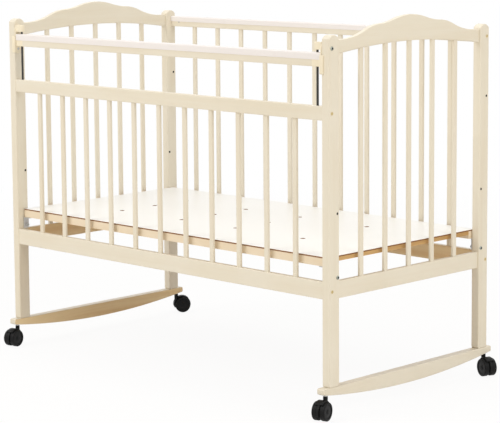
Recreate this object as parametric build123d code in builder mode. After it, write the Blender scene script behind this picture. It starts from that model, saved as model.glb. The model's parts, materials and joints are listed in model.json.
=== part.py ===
from build123d import *
from math import cos, radians, sin
import os

os.makedirs("parts", exist_ok=True)

# Frame of the model: X runs along the bed, the drop side faces -Y, +Z is up and Z 0 is the floor.
# The right casters trail outwards, so the bed stands this far from the middle of the whole box.
middle_x = -14.0

# Sleeping space
mattress_length = 1200
mattress_width = 600

# Posts. The arches, the upper rails and the drop side hang their heights on the posts' crowns.
post_thick = 25
post_width = 37
post_crown = 959
post_crown_rise = 10
post_edge = 3
post_corner = 4

# Long rails of the front and the back
rail_thick = 16
rail_recess = 2
rail_edge = 2.5
bottom_rail_low = 300.5
bottom_rail_height = 44.5
middle_rail_drop = 211.5
middle_rail_height = 36
top_rail_drop = 49.5
top_rail_height = 30.2

# Rails of the two ends
end_thick = 14
arch_over_post = 38
arch_middle_depth = 67
arch_post_depth = 87
arch_shoulder = 15.6163
arch_curves = [(218, 16.5), (-241, 2.5), (151, 24), (-223, 0)]

# Runners under the posts
runner_overhang = 20
runner_middle_depth = 40
runner_end_depth = 15.4
runner_corner = 4

# Slats and the mortises that hold them
slat_width = 15
slat_thick = 8
slat_edge = 2.5
tenon = 12
mortise_play = 0.1
side_slats = 11
side_slat_setback = 98.5
end_slats = 5
end_slat_setback = 94

# Covers over the back top rail and the drop rail
cover_wall = 1.3
cover_edge = 4
top_cover_skirt = 16
drop_cover_skirt = 18

# Drop side
drop_rail_drop = 79
drop_rail_height = 34.2
guide_length = 28.5
guide_end_gap = 0.5
tongue_length = 14
tongue_width = 8
tongue_height = 20
rod_radius = 3
rod_setback = 22
rod_seat = 12
rod_cover = 1.5
rod_play = 0.06
cover_hole_play = 0.5

# Brackets that hold the rods' upper ends
bracket_plate = 5
bracket_drop = 18
bracket_height = 81
bracket_depth = 28
bracket_flange = 3
bracket_flange_reach = 14
bracket_flange_height = 49
lug_height = 19
lug_reach = 34
lug_width = 18
lug_corner = 6
bracket_screw_rises = [13, 39]
bracket_screw_radius = 1.8
bracket_screw_head = 3.8
bracket_screw_sink = 2.2
bracket_screw_length = 18

# Bolts through the posts
bolt_radius = 3
bolt_bore_radius = 3.5
bottom_bolt_rise = 21.5
middle_bolt_rise = 18.5
top_bolt_rise = 16.5
head_radius = 5
head_height = 3.6
sink_radius = 6
sink_depth = 4.5
cap_height = 1.2
cap_proud = 0.5
barrel_setback = 35
barrel_radius = 5
barrel_length = 13
bolt_past_barrel = 7
barrel_end_gap = 1
bolt_end_gap = 1
hex_flats = 10
hex_height = 4
washer_radius = 6.5
washer_height = 1
bracket_bolt_reach = 14

# Base board and its rails
base_top = 403.5
board_thick = 3.5
base_end_play = 2
base_side_play = 3
board_corner = 3
base_rail_width = 27
base_rail_height = 20.5
end_strip_width = 28
end_strip_height = 10
cross_bar_width = 30
cross_bar_x = 232.5
vent_radius = 7
vent_columns = [107, 358]
vent_row_pitch = 128

# Supports of the base on the posts
support_leaf = 2
support_width = 18
support_height = 32.5
support_reach = 28
support_bolt_inset = 7
support_bolt_drop = 24
spare_hole_rise = 160.5
support_nut_height = 4.5
support_bolt_head = 5.5
support_bolt_head_height = 3.2

# Dowels
dowel_radius = 3.5
dowel_half = 15
arch_dowel_rises = [9, 26]
bottom_dowel_rises = [10.5, 33.5]
foot_dowel_radius = 4
foot_dowel_insets = [6, 23]
foot_dowel_down = 13
foot_dowel_up = 18

# Casters. The wheels and their hoods set how high the runners and the posts' feet stand.
caster_setback = 18
wheel_radius = 24
wheel_width = 14.5
wheel_spacing = 22
wheel_edge = 2.5
wheel_dish_radius = 17
wheel_dish_depth = 1.5
trail = 19
axle_radius = 3
axle_proud = 0.5
running_play = 0.06
side_play = 0.3
fender_gap = 1.3
fender_wall = 2.5
fender_from = 48
fender_to = 188
neck_radius = 8
neck_rise = 9.5
neck_edge = 1
stem_radius = 4
stem_sunk = 11
stem_end_gap = 1
web_drop = 10
socket_flange_radius = 9
socket_flange_height = 2
socket_gap = 3.5
socket_sleeve_radius = 5.4
socket_sleeve_height = 14
socket_top_wood = 2
socket_seat_play = 0.5

# Sizes that follow from the ones above
half_length = mattress_length / 2
post_x = half_length + post_thick / 2
outer_x = half_length + post_thick
post_outer_y = mattress_width / 2 + rail_thick + rail_recess
post_inner_y = post_outer_y - post_width
post_y = post_outer_y - post_width / 2
rail_y = post_outer_y - rail_recess - rail_thick / 2

# Heights of the casters, the runners and the posts' feet, from the floor up
neck_top = 2 * wheel_radius + neck_rise
stem_low = neck_top - stem_sunk
web_low = wheel_radius - web_drop
web_half = wheel_spacing / 2 - wheel_width / 2 - side_play
socket_flange_low = neck_top + socket_gap
socket_seat = socket_flange_low + socket_flange_height
socket_top = socket_seat + socket_sleeve_height
stem_high = socket_top - stem_end_gap
post_foot = socket_top + socket_top_wood
runner_half = post_outer_y + runner_overhang
runner_middle_low = post_foot - runner_middle_depth
runner_end_low = post_foot - runner_end_depth
caster_y = runner_half - caster_setback
foot_dowel_depths = [post_inner_y + inset for inset in foot_dowel_insets]
foot_dowel_low = post_foot - foot_dowel_down
foot_dowel_high = post_foot + foot_dowel_up

# Heights under the posts' crowns
post_shoulder = post_crown - post_crown_rise
arch_crown = post_crown + arch_over_post
arch_under_middle = arch_crown - arch_middle_depth
arch_under_post = arch_crown - arch_post_depth
arch_dowel_heights = [arch_under_post + rise for rise in arch_dowel_rises]
top_rail_low = post_crown - top_rail_drop
top_rail_high = top_rail_low + top_rail_height
middle_rail_low = post_crown - middle_rail_drop
middle_rail_high = middle_rail_low + middle_rail_height
bottom_rail_high = bottom_rail_low + bottom_rail_height
bottom_dowel_heights = [bottom_rail_low + rise for rise in bottom_dowel_rises]
bolt_low = bottom_rail_low + bottom_bolt_rise
bolt_middle = middle_rail_low + middle_bolt_rise
bolt_high = top_rail_low + top_bolt_rise

# Drop side and its brackets
drop_rail_low = post_crown - drop_rail_drop
drop_rail_high = drop_rail_low + drop_rail_height
drop_end = half_length - bracket_plate - guide_end_gap
drop_wood_end = drop_end - guide_length
bracket_high = post_crown - bracket_drop
bracket_low = bracket_high - bracket_height
bracket_flange_high = bracket_low + bracket_flange_height
bracket_screw_heights = [bracket_low + rise for rise in bracket_screw_rises]
bracket_bolt_end = half_length - bracket_bolt_reach
lug_low = bracket_high - lug_height
rod_x = half_length - rod_setback
rod_top = bracket_high - rod_cover

# Base and its supports
base_half_length = half_length - base_end_play
base_half_width = mattress_width / 2 - base_side_play
board_low = base_top - board_thick
base_rail_low = board_low - base_rail_height
base_rail_y = base_half_width - base_rail_width / 2
end_strip_low = board_low - end_strip_height
support_low = base_rail_low - support_height
support_bolt_y = post_inner_y + support_bolt_inset
support_bolt_z = base_rail_low - support_bolt_drop
spare_hole_z = support_bolt_z + spare_hole_rise

# Pitches of the slats
side_pitch = (mattress_length - 2 * side_slat_setback) / (side_slats - 1)
end_pitch = 2 * (post_inner_y - end_slat_setback) / (end_slats - 1)

sides = {"left": -1, "right": 1}
corners = {
    "front_left": (-1, -1, 282),
    "front_right": (1, -1, 285),
    "back_left": (-1, 1, 55),
    "back_right": (1, 1, 338),
}


def level(z):
    """Horizontal plane at a height, with its origin on the bed's middle line."""
    return Plane(origin=(middle_x, 0, z), x_dir=(1, 0, 0), z_dir=(0, 0, 1))


def across(x):
    """Upright plane facing +X at x from the bed's middle. Sketch axes are Y and Z."""
    return Plane(origin=(middle_x + x, 0, 0), x_dir=(0, 1, 0), z_dir=(1, 0, 0))


def facing(y):
    """Upright plane facing -Y at a depth y. Sketch axes are X and Z."""
    return Plane(origin=(middle_x, y, 0), x_dir=(1, 0, 0), z_dir=(0, -1, 0))


def save(piece, label):
    """Names a finished piece and writes its STEP file."""
    piece.part.label = label
    export_step(piece.part, f"parts/{label}.step")


def rod_across(x_from, x_to, places, radius, mode=Mode.ADD):
    """Round rods or bores along X between two distances, at places in Y and Z."""
    with BuildSketch(across(x_from)) as rounds:
        with Locations(*places):
            Circle(radius)
    extrude(rounds.sketch, amount=x_to - x_from, mode=mode)


def side_slat_places(y):
    """Places in X and Y of the slats of a long side."""
    first = -(side_slats - 1) / 2
    return [((first + i) * side_pitch, y) for i in range(side_slats)]


def end_slat_depths():
    """Depths in Y of the slats of an end."""
    first = -(end_slats - 1) / 2
    return [(first + i) * end_pitch for i in range(end_slats)]


def arch_underside(y):
    """Height of the arch rail's underside at a depth y, on one arc between the posts."""
    rise = arch_under_middle - arch_under_post
    radius = (post_inner_y**2 + rise**2) / (2 * rise)
    return arch_under_middle - radius + (radius**2 - y**2) ** 0.5


def arch_stretch():
    """Factor that fits the arch's curves between its crown and its level shoulders at the posts."""
    reach = 0.0
    angle = 0.0
    for radius, end_angle in arch_curves:
        reach += radius * (sin(radians(end_angle)) - sin(radians(angle)))
        angle = end_angle
    return (post_inner_y - arch_shoulder) / reach


def arch_points():
    """Start, middle and end of each arc of the arch's outline, from the crown outwards."""
    y = 0.0
    z = arch_crown
    angle = 0.0
    arcs = []
    stretch = arch_stretch()
    for drawn_radius, end_angle in arch_curves:
        radius = stretch * drawn_radius
        centre_y = y - radius * sin(radians(angle))
        centre_z = z - radius * cos(radians(angle))
        points = [(y, z)]
        for turn in [(angle + end_angle) / 2, end_angle]:
            y = centre_y + radius * sin(radians(turn))
            z = centre_z + radius * cos(radians(turn))
            points.append((y, z))
        arcs.append(points)
        angle = end_angle
    return arcs


def mortises(z, places, width, thick, depth):
    """Cuts mortises for slats into a rail, from height z by a depth that may point up or down."""
    with BuildSketch(level(z)) as openings:
        with Locations(*places):
            Rectangle(width + 2 * mortise_play, thick + 2 * mortise_play)
    extrude(openings.sketch, amount=depth, mode=Mode.SUBTRACT)


def long_bar(y, low, height, thick, end, edge):
    """Bar along X with four rounded edges, between -end and end."""
    with BuildSketch(across(-end)) as section:
        with Locations((y, low + height / 2)):
            RectangleRounded(thick, height, edge)
    extrude(section.sketch, amount=2 * end)


def bolt_cuts(y, z):
    """Bolt bores and barrel-nut holes in both ends of a long rail."""
    inward = -1 if y > 0 else 1
    barrel_x = half_length - barrel_setback
    for side in sides.values():
        end_x = side * half_length
        bore_end = side * (barrel_x - bolt_past_barrel - bolt_end_gap)
        rod_across(end_x, bore_end, [(y, z)], bolt_bore_radius, Mode.SUBTRACT)
        face_y = y + inward * rail_thick / 2
        with BuildSketch(facing(face_y)) as hole:
            with Locations((side * barrel_x, z)):
                Circle(barrel_radius)
        extrude(hole.sketch, amount=inward * (barrel_length + barrel_end_gap), mode=Mode.SUBTRACT)


# Posts: rounded top, bolt bores, dowel holes
for corner, (sx, sy, turn) in corners.items():
    inner_x = sx * half_length
    face_x = sx * outer_x
    with BuildPart() as post:
        with BuildSketch(across(inner_x)) as outline:
            with BuildLine():
                low_in = (sy * post_inner_y, post_foot)
                low_out = (sy * post_outer_y, post_foot)
                high_in = (sy * post_inner_y, post_shoulder)
                high_out = (sy * post_outer_y, post_shoulder)
                Line(low_in, low_out)
                Line(low_out, high_out)
                ThreePointArc(high_out, (sy * post_y, post_crown), high_in)
                Line(high_in, low_in)
            make_face()
            fillet(outline.vertices().group_by(Axis.Z)[-1], post_corner)
        extrude(amount=sx * post_thick)
        rims = post.edges().filter_by(GeomType.LINE).filter_by(Axis.Z)
        fillet(rims + post.edges().filter_by(GeomType.CIRCLE), post_edge)
        rail_bolts = [(sy * rail_y, z) for z in [bolt_low, bolt_middle, bolt_high]]
        rod_across(inner_x, face_x, rail_bolts, bolt_bore_radius, Mode.SUBTRACT)
        sunk = [bolt_low, bolt_middle] if sy < 0 else [bolt_low, bolt_high]
        sunk_x = face_x - sx * sink_depth
        rod_across(sunk_x, face_x, [(sy * rail_y, z) for z in sunk], sink_radius, Mode.SUBTRACT)
        support_holes = [(sy * support_bolt_y, z) for z in [support_bolt_z, spare_hole_z]]
        rod_across(inner_x, face_x, support_holes, bolt_bore_radius, Mode.SUBTRACT)
        if sy < 0:
            screws = [(sy * rail_y, z) for z in bracket_screw_heights]
            screw_end = inner_x + sx * (bracket_screw_length - bracket_plate)
            rod_across(inner_x, screw_end, screws, bracket_screw_radius, Mode.SUBTRACT)
        with BuildSketch(facing(sy * post_inner_y)):
            with Locations(*[(sx * post_x, z) for z in arch_dowel_heights + bottom_dowel_heights]):
                Circle(dowel_radius)
        extrude(amount=-sy * dowel_half, mode=Mode.SUBTRACT)
        with BuildSketch(level(post_foot)):
            with Locations(*[(sx * post_x, sy * y) for y in foot_dowel_depths]):
                Circle(foot_dowel_radius)
        extrude(amount=foot_dowel_high - post_foot, mode=Mode.SUBTRACT)
    save(post, f"post_{corner}")


# End panels: arched rail, bottom rail, slats
for side, sx in sides.items():
    end_x = sx * post_x
    depths = end_slat_depths()
    with BuildPart() as arch_rail:
        with BuildSketch(across(end_x - end_thick / 2)):
            with BuildLine():
                for hand in [-1, 1]:
                    for first, second, last in arch_points():
                        ThreePointArc(
                            (hand * first[0], first[1]), (hand * second[0], second[1]), (hand * last[0], last[1])
                        )
                    foot_y, foot_z = arch_points()[-1][-1]
                    Line((hand * foot_y, foot_z), (hand * post_inner_y, foot_z))
                    Line((hand * post_inner_y, foot_z), (hand * post_inner_y, arch_under_post))
                ThreePointArc(
                    (-post_inner_y, arch_under_post), (0, arch_under_middle), (post_inner_y, arch_under_post)
                )
            make_face()
        extrude(amount=end_thick)
        long_edges = arch_rail.faces().filter_by(Axis.X).edges()
        long_edges = long_edges.filter_by(lambda edge: abs(abs(edge.center().Y) - post_inner_y) > 1e-6)
        fillet(long_edges, rail_edge)
        for y in depths:
            top = arch_underside(y) + tenon
            mortises(top, [(end_x, y)], slat_thick, slat_width, -2 * tenon)
        for hand in [-1, 1]:
            with BuildSketch(facing(hand * post_inner_y)):
                with Locations(*[(end_x, z) for z in arch_dowel_heights]):
                    Circle(dowel_radius)
            extrude(amount=hand * dowel_half, mode=Mode.SUBTRACT)
    save(arch_rail, f"arch_rail_{side}")

    with BuildPart() as end_rail:
        with BuildSketch(facing(post_inner_y)):
            with Locations((end_x, bottom_rail_low + bottom_rail_height / 2)):
                RectangleRounded(end_thick, bottom_rail_height, rail_edge)
        extrude(amount=2 * post_inner_y)
        mortises(bottom_rail_high, [(end_x, y) for y in depths], slat_thick, slat_width, -tenon)
        for hand in [-1, 1]:
            with BuildSketch(facing(hand * post_inner_y)):
                with Locations(*[(end_x, z) for z in bottom_dowel_heights]):
                    Circle(dowel_radius)
            extrude(amount=hand * dowel_half, mode=Mode.SUBTRACT)
    save(end_rail, f"end_bottom_rail_{side}")

    with BuildPart() as slats:
        slat_low = bottom_rail_high - tenon
        for y in depths:
            with BuildSketch(level(slat_low)):
                with Locations((end_x, y)):
                    RectangleRounded(slat_thick, slat_width, slat_edge)
            extrude(amount=arch_underside(y) + tenon - slat_low)
    save(slats, f"end_slats_{side}")

    # Runner: straight top, bowed underside, flat seats for the casters
    with BuildPart() as runner:
        with BuildSketch(across(end_x - post_thick / 2)) as bow:
            with BuildLine():
                Polyline(
                    (-runner_half, runner_end_low),
                    (-runner_half, post_foot),
                    (runner_half, post_foot),
                    (runner_half, runner_end_low),
                )
                ThreePointArc(
                    (runner_half, runner_end_low), (0, runner_middle_low), (-runner_half, runner_end_low)
                )
            make_face()
            fillet(bow.vertices(), runner_corner)
        extrude(amount=post_thick)
        fillet(runner.faces().filter_by(Axis.X).edges(), rail_edge)
        caster_places = [(end_x, -caster_y), (end_x, caster_y)]
        with BuildSketch(level(socket_seat)):
            with Locations(*caster_places):
                Circle(socket_flange_radius + socket_seat_play)
        extrude(amount=-(socket_seat - runner_middle_low), mode=Mode.SUBTRACT)
        with BuildSketch(level(socket_seat)):
            with Locations(*caster_places):
                Circle(socket_sleeve_radius)
        extrude(amount=socket_top - socket_seat, mode=Mode.SUBTRACT)
        with BuildSketch(level(post_foot)):
            with Locations(*[(end_x, hand * y) for y in foot_dowel_depths for hand in [-1, 1]]):
                Circle(foot_dowel_radius)
        extrude(amount=foot_dowel_low - post_foot, mode=Mode.SUBTRACT)
    save(runner, f"runner_{side}")


# Long sides: rails and slats
with BuildPart() as back_top_rail:
    long_bar(rail_y, top_rail_low, top_rail_height, rail_thick, half_length, rail_edge)
    mortises(top_rail_low, side_slat_places(rail_y), slat_width, slat_thick, tenon)
    bolt_cuts(rail_y, bolt_high)
save(back_top_rail, "back_top_rail")

with BuildPart() as back_bottom_rail:
    long_bar(rail_y, bottom_rail_low, bottom_rail_height, rail_thick, half_length, rail_edge)
    mortises(bottom_rail_high, side_slat_places(rail_y), slat_width, slat_thick, -tenon)
    bolt_cuts(rail_y, bolt_low)
save(back_bottom_rail, "back_bottom_rail")

with BuildPart() as front_middle_rail:
    long_bar(-rail_y, middle_rail_low, middle_rail_height, rail_thick, half_length, rail_edge)
    mortises(middle_rail_low, side_slat_places(-rail_y), slat_width, slat_thick, tenon)
    bolt_cuts(-rail_y, bolt_middle)
    with BuildSketch(level(middle_rail_high)):
        with Locations((-rod_x, -rail_y), (rod_x, -rail_y)):
            Circle(rod_radius)
    extrude(amount=-rod_seat, mode=Mode.SUBTRACT)
save(front_middle_rail, "front_middle_rail")

with BuildPart() as front_bottom_rail:
    long_bar(-rail_y, bottom_rail_low, bottom_rail_height, rail_thick, half_length, rail_edge)
    mortises(bottom_rail_high, side_slat_places(-rail_y), slat_width, slat_thick, -tenon)
    bolt_cuts(-rail_y, bolt_low)
save(front_bottom_rail, "front_bottom_rail")

slat_tops = {"front": (-rail_y, middle_rail_low), "back": (rail_y, top_rail_low)}
for side, (y, upper) in slat_tops.items():
    with BuildPart() as slats:
        with BuildSketch(level(bottom_rail_high - tenon)):
            with Locations(*side_slat_places(y)):
                RectangleRounded(slat_width, slat_thick, slat_edge)
        extrude(amount=upper - bottom_rail_high + 2 * tenon)
    save(slats, f"{side}_slats")


def rail_cover(y, rail_top, skirt, end):
    """Channel over the top of a rail, open below, with a rounded top."""
    outer = rail_thick + 2 * cover_wall
    with BuildSketch(across(-end)) as section:
        with Locations((y, rail_top + cover_wall - skirt / 2)):
            Rectangle(outer, skirt)
    extrude(section.sketch, amount=2 * end)


with BuildPart() as back_top_rail_cover:
    rail_cover(rail_y, top_rail_high, top_cover_skirt, half_length)
    upper_edges = back_top_rail_cover.edges().filter_by(Axis.X).group_by(Axis.Z)[-1]
    fillet(upper_edges, cover_edge)
    with BuildSketch(across(-half_length)):
        with Locations((rail_y, top_rail_low + top_rail_height / 2)):
            RectangleRounded(rail_thick, top_rail_height, rail_edge)
    extrude(amount=2 * half_length, mode=Mode.SUBTRACT)
save(back_top_rail_cover, "back_top_rail_cover")


# Drop side: rail, cover, guide blocks
with BuildPart() as drop_rail:
    long_bar(-rail_y, drop_rail_low, drop_rail_height, rail_thick, drop_wood_end, rail_edge)
    for sx in sides.values():
        with BuildSketch(across(sx * drop_wood_end)):
            with Locations((-rail_y, drop_rail_low + drop_rail_height / 2)):
                Rectangle(tongue_width, tongue_height)
        extrude(amount=-sx * tongue_length, mode=Mode.SUBTRACT)
save(drop_rail, "drop_rail")

with BuildPart() as drop_rail_cover:
    rail_cover(-rail_y, drop_rail_high, drop_cover_skirt, drop_end)
    upper_edges = drop_rail_cover.edges().filter_by(Axis.X).group_by(Axis.Z)[-1]
    fillet(upper_edges, cover_edge)
    with BuildSketch(across(-drop_end)):
        with Locations((-rail_y, drop_rail_low + drop_rail_height / 2)):
            RectangleRounded(rail_thick, drop_rail_height, rail_edge)
    extrude(amount=2 * drop_end, mode=Mode.SUBTRACT)
    with BuildSketch(level(drop_rail_high)):
        with Locations((-rod_x, -rail_y), (rod_x, -rail_y)):
            Circle(rod_radius + cover_hole_play)
    extrude(amount=cover_wall, mode=Mode.SUBTRACT)
save(drop_rail_cover, "drop_rail_cover")

for side, sx in sides.items():
    with BuildPart() as guide:
        with BuildSketch(across(sx * drop_wood_end)):
            with Locations((-rail_y, drop_rail_low + drop_rail_height / 2)):
                RectangleRounded(rail_thick, drop_rail_height, rail_edge)
        extrude(amount=sx * guide_length)
        with BuildSketch(across(sx * drop_wood_end)):
            with Locations((-rail_y, drop_rail_low + drop_rail_height / 2)):
                Rectangle(tongue_width, tongue_height)
        extrude(amount=-sx * tongue_length)
        with BuildSketch(level(drop_rail_low)):
            with Locations((sx * rod_x, -rail_y)):
                Circle(rod_radius + rod_play)
        extrude(amount=drop_rail_height, mode=Mode.SUBTRACT)
    save(guide, f"drop_guide_{side}")

    with BuildPart() as rod:
        with BuildSketch(level(middle_rail_high - rod_seat)):
            with Locations((sx * rod_x, -rail_y)):
                Circle(rod_radius)
        extrude(amount=rod_top - middle_rail_high + rod_seat)
    save(rod, f"guide_rod_{side}")

    # Rod bracket: plate on the post's inner face, flange round its front, lug over the rod
    with BuildPart() as bracket:
        inner_face = half_length - bracket_plate
        plate_front = -post_outer_y
        with BuildSketch(across(sx * inner_face)):
            with Locations((plate_front + bracket_depth / 2, (bracket_low + bracket_high) / 2)):
                RectangleRounded(bracket_depth, bracket_high - bracket_low, post_edge)
        extrude(amount=sx * bracket_plate)
        flange_span = bracket_plate + bracket_flange_reach
        flange_height = bracket_flange_high - bracket_low
        with BuildSketch(facing(plate_front)):
            with Locations((sx * (inner_face + flange_span / 2), bracket_low + flange_height / 2)):
                RectangleRounded(flange_span, flange_height, post_edge)
        extrude(amount=bracket_flange)
        with BuildSketch(level(lug_low)) as lug:
            with Locations((sx * (half_length - lug_reach / 2), -rail_y)):
                Rectangle(lug_reach, lug_width)
            tip = lug.vertices().sort_by(Axis.X)
            fillet(tip[:2] if sx > 0 else tip[-2:], lug_corner)
        extrude(amount=bracket_high - lug_low)
        with BuildSketch(facing(plate_front)):
            with Locations((sx * (inner_face + bracket_plate / 2), bracket_low + flange_height / 2)):
                Rectangle(bracket_plate, flange_height - 2 * post_edge)
        extrude(amount=-2 * post_edge)
        with BuildSketch(level(lug_low)):
            with Locations((sx * rod_x, -rail_y)):
                Circle(rod_radius)
        extrude(amount=rod_top - lug_low, mode=Mode.SUBTRACT)
        rod_across(sx * half_length, sx * bracket_bolt_end, [(-rail_y, bolt_high)], bolt_radius, Mode.SUBTRACT)
        screws = [(-rail_y, z) for z in bracket_screw_heights]
        rod_across(sx * half_length, sx * inner_face, screws, bracket_screw_radius, Mode.SUBTRACT)
        sink_end = sx * (inner_face + bracket_screw_sink)
        rod_across(sx * inner_face, sink_end, screws, bracket_screw_head, Mode.SUBTRACT)
    save(bracket, f"rod_bracket_{side}")

with BuildPart() as bracket_screws:
    screws = [(-rail_y, z) for z in bracket_screw_heights]
    for sx in sides.values():
        head_x = half_length - bracket_plate
        rod_across(sx * head_x, sx * (head_x + bracket_screw_sink), screws, bracket_screw_head)
        rod_across(
            sx * (head_x + bracket_screw_sink), sx * (head_x + bracket_screw_length), screws, bracket_screw_radius
        )
save(bracket_screws, "bracket_screws")

with BuildPart() as bracket_bolts:
    for sx in sides.values():
        place = [(-rail_y, bolt_high)]
        rod_across(sx * bracket_bolt_end, sx * outer_x, place, bolt_radius)
        rod_across(sx * outer_x, sx * (outer_x + washer_height), place, washer_radius)
        with BuildSketch(across(sx * (outer_x + washer_height))):
            with Locations(*place):
                RegularPolygon(hex_flats / 2, 6, major_radius=False)
        extrude(amount=sx * hex_height)
save(bracket_bolts, "bracket_bolts")


# Bolts of the long rails, with sunk heads under caps, and the barrel nuts they draw on
rail_bolt_places = [(-rail_y, bolt_low), (-rail_y, bolt_middle), (rail_y, bolt_low), (rail_y, bolt_high)]
barrel_x = half_length - barrel_setback
seat_x = outer_x - sink_depth
with BuildPart() as frame_bolts:
    for sx in sides.values():
        rod_across(sx * (barrel_x - bolt_past_barrel), sx * seat_x, rail_bolt_places, bolt_radius)
        rod_across(sx * seat_x, sx * (seat_x + head_height), rail_bolt_places, head_radius)
save(frame_bolts, "frame_bolts")

with BuildPart() as bolt_caps:
    for sx in sides.values():
        cap_end = outer_x + cap_proud
        rod_across(sx * (cap_end - cap_height), sx * cap_end, rail_bolt_places, sink_radius)
save(bolt_caps, "bolt_caps")

with BuildPart() as barrel_nuts:
    for y, z in rail_bolt_places:
        inward = -1 if y > 0 else 1
        face_y = y + inward * rail_thick / 2
        with BuildSketch(facing(face_y - inward * barrel_end_gap)):
            with Locations((-barrel_x, z), (barrel_x, z)):
                Circle(barrel_radius)
        extrude(amount=inward * barrel_length)
    for sx in sides.values():
        bore_end = sx * (barrel_x + 2 * barrel_radius)
        rod_across(sx * (barrel_x - 2 * barrel_radius), bore_end, rail_bolt_places, bolt_radius, Mode.SUBTRACT)
save(barrel_nuts, "barrel_nuts")


# Dowels of the ends
with BuildPart() as panel_dowels:
    places = [(sx * post_x, z) for sx in [-1, 1] for z in arch_dowel_heights + bottom_dowel_heights]
    for hand in [-1, 1]:
        with BuildSketch(facing(hand * (post_inner_y + dowel_half))):
            with Locations(*places):
                Circle(dowel_radius)
        extrude(amount=hand * 2 * dowel_half)
save(panel_dowels, "panel_dowels")

with BuildPart() as foot_dowels:
    with BuildSketch(level(foot_dowel_low)):
        with Locations(*[(sx * post_x, sy * y) for sx in [-1, 1] for sy in [-1, 1] for y in foot_dowel_depths]):
            Circle(foot_dowel_radius)
    extrude(amount=foot_dowel_high - foot_dowel_low)
save(foot_dowels, "foot_dowels")


# Base: board with vents, long rails, end strips, cross bars
with BuildPart() as base_board:
    with BuildSketch(level(board_low)):
        RectangleRounded(2 * base_half_length, 2 * base_half_width, board_corner)
        vents = [(sx * x, row * vent_row_pitch) for x in vent_columns for sx in [-1, 1] for row in [-1, 0, 1]]
        with Locations(*vents):
            Circle(vent_radius, mode=Mode.SUBTRACT)
    extrude(amount=board_thick)
save(base_board, "base_board")

for side, sy in {"front": -1, "back": 1}.items():
    with BuildPart() as base_rail:
        with BuildSketch(across(-base_half_length)):
            with Locations((sy * base_rail_y, base_rail_low + base_rail_height / 2)):
                Rectangle(base_rail_width, base_rail_height)
        extrude(amount=2 * base_half_length)
    save(base_rail, f"base_rail_{side}")

base_inner_y = base_half_width - base_rail_width
with BuildPart() as base_end_strips:
    strip_x = base_half_length - end_strip_width / 2
    with BuildSketch(level(end_strip_low)):
        with Locations((-strip_x, 0), (strip_x, 0)):
            Rectangle(end_strip_width, 2 * base_inner_y)
    extrude(amount=board_low - end_strip_low)
save(base_end_strips, "base_end_strips")

with BuildPart() as base_cross_bars:
    with BuildSketch(level(base_rail_low)):
        with Locations((-cross_bar_x, 0), (cross_bar_x, 0)):
            Rectangle(cross_bar_width, 2 * base_inner_y)
    extrude(amount=base_rail_height)
save(base_cross_bars, "base_cross_bars")

support_y = post_inner_y + support_width / 2
with BuildPart() as base_supports:
    for sx in sides.values():
        for sy in [-1, 1]:
            with BuildSketch(facing(sy * support_y)):
                wall = sx * half_length
                leaf = sx * (half_length - support_leaf)
                tip = sx * (half_length - support_reach)
                with BuildLine():
                    Polyline(
                        (wall, support_low),
                        (wall, base_rail_low),
                        (tip, base_rail_low),
                        (tip, base_rail_low - support_leaf),
                        (leaf, base_rail_low - support_leaf),
                        (leaf, support_low),
                        close=True,
                    )
                make_face()
            extrude(amount=support_width / 2, both=True)
        holes = [(sy * support_bolt_y, support_bolt_z) for sy in [-1, 1]]
        rod_across(sx * half_length, sx * (half_length - support_leaf), holes, bolt_radius, Mode.SUBTRACT)
save(base_supports, "base_supports")

support_bolt_places = [(-support_bolt_y, support_bolt_z), (support_bolt_y, support_bolt_z)]
nut_x = half_length - support_leaf
with BuildPart() as support_bolts:
    for sx in sides.values():
        rod_across(sx * (nut_x - support_nut_height), sx * outer_x, support_bolt_places, bolt_radius)
        head_end = sx * (outer_x + support_bolt_head_height)
        rod_across(sx * outer_x, head_end, support_bolt_places, support_bolt_head)
save(support_bolts, "support_bolts")

with BuildPart() as support_nuts:
    for sx in sides.values():
        with BuildSketch(across(sx * nut_x)):
            with Locations(*support_bolt_places):
                RegularPolygon(hex_flats / 2, 6, major_radius=False)
            with Locations(*support_bolt_places):
                Circle(bolt_radius, mode=Mode.SUBTRACT)
        extrude(amount=-sx * support_nut_height)
save(support_nuts, "support_nuts")


# Casters: sockets and stems stay in the runners, hoods turn on the stems, wheels turn in the hoods
caster_feet = [(sx * post_x, sy * caster_y) for sx, sy, turn in corners.values()]
with BuildPart() as caster_sockets:
    with BuildSketch(level(socket_flange_low)):
        with Locations(*caster_feet):
            Circle(socket_flange_radius)
    extrude(amount=socket_seat - socket_flange_low)
    with BuildSketch(level(socket_seat)):
        with Locations(*caster_feet):
            Circle(socket_sleeve_radius)
    extrude(amount=socket_top - socket_seat)
    with BuildSketch(level(socket_flange_low)):
        with Locations(*caster_feet):
            Circle(stem_radius)
    extrude(amount=stem_high - socket_flange_low, mode=Mode.SUBTRACT)
save(caster_sockets, "caster_sockets")

with BuildPart() as caster_stems:
    with BuildSketch(level(stem_low)):
        with Locations(*caster_feet):
            Circle(stem_radius)
    extrude(amount=stem_high - stem_low)
save(caster_stems, "caster_stems")

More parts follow.
